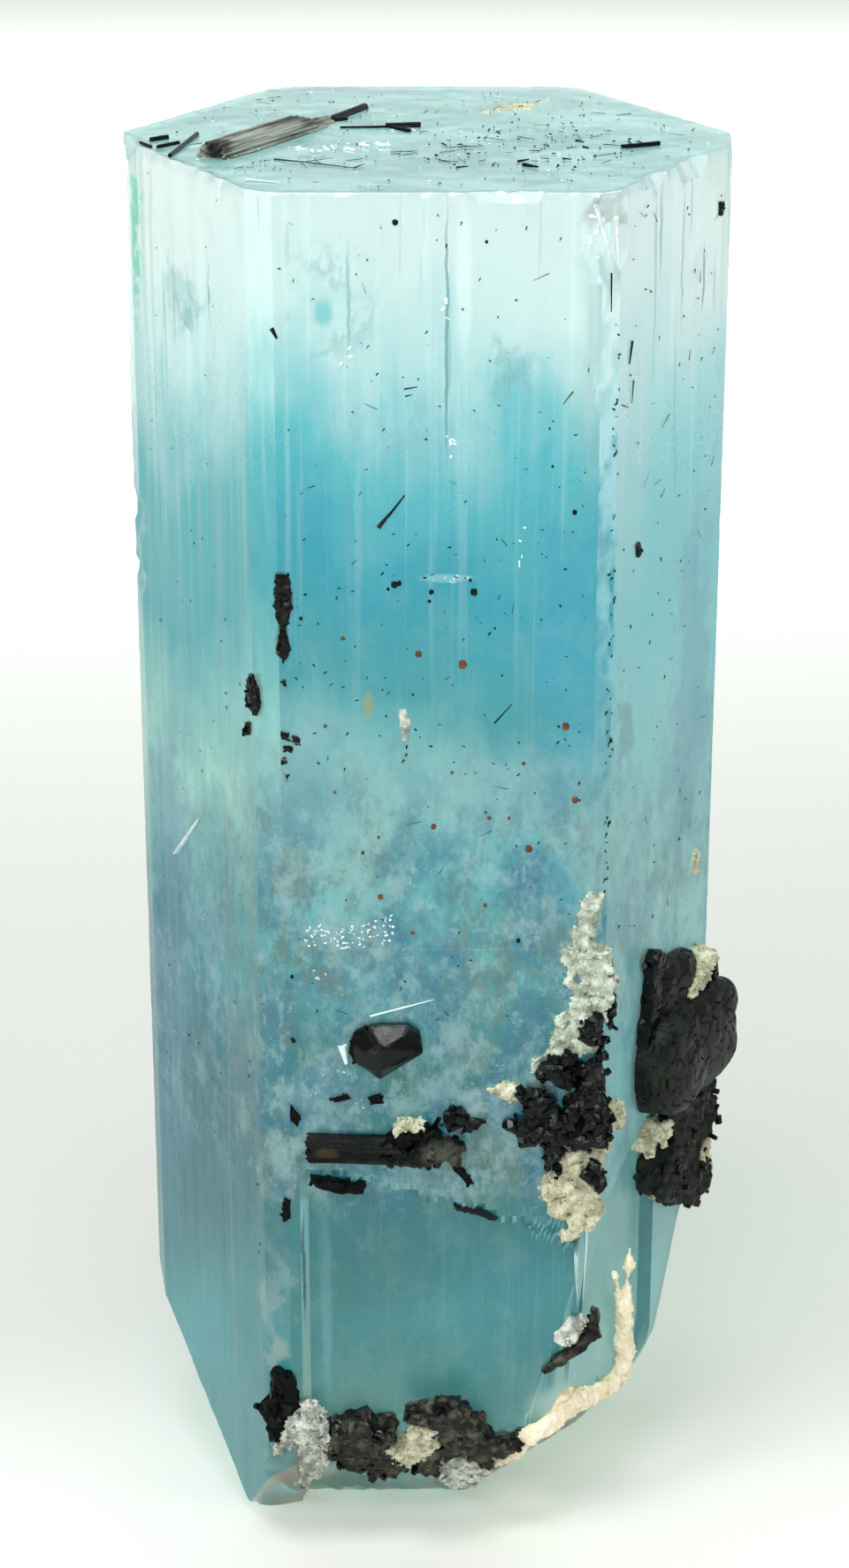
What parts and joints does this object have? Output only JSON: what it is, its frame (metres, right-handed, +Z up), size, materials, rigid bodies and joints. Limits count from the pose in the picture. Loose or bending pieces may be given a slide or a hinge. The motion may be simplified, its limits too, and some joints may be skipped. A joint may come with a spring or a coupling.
{
  "type": "aquamarine crystal specimen",
  "caption": "Upright hexagonal aquamarine prism with a flat top, a broken foot, and black schorl and cream feldspar grown on it.",
  "frame": {"origin": "on the flat of the broken foot, on the long axis of the prism", "axes": "+Z up the crystal's long axis, -Y out of the prism's front face, +X to the right seen from the front"},
  "size_m": [0.0208, 0.0186, 0.049],
  "materials": {
    "aquamarine": "glassy natural crystal faces, fine vertical growth lines",
    "schorl": "black, vitreous, striated",
    "feldspar": "matt, granular"
  },
  "bodies": {
    "root": {"aquamarine_crystal": "aquamarine", "top_schorl_prism": "schorl", "top_schorl_needle_back": "schorl", "top_schorl_needle_middle": "schorl", "top_schorl_needle_left": "schorl", "top_schorl_needle_right": "schorl", "front_schorl_crystal": "schorl", "front_schorl_rod": "schorl", "lower_schorl_rod": "schorl", "front_schorl_wedge": "schorl", "ledge_schorl_splinter": "schorl", "front_schorl_cluster": "schorl", "feldspar_set_schorl": "schorl", "edge_schorl_blade": "schorl", "left_edge_schorl_flake": "schorl", "left_face_schorl_flake": "schorl", "right_schorl_cluster": "schorl", "foot_schorl_left": "schorl", "foot_schorl_middle": "schorl", "foot_schorl_right": "schorl", "foot_schorl_streak": "schorl", "feldspar_streak": "feldspar", "feldspar_patch": "feldspar", "feldspar_bit_rod": "feldspar", "feldspar_bit_wedge": "feldspar", "feldspar_bit_right": "feldspar", "feldspar_bit_ledge": "feldspar", "foot_feldspar_left": "feldspar", "foot_feldspar_middle": "feldspar", "foot_feldspar_low": "feldspar", "foot_feldspar_rim": "feldspar"}
  },
  "joints": []
}
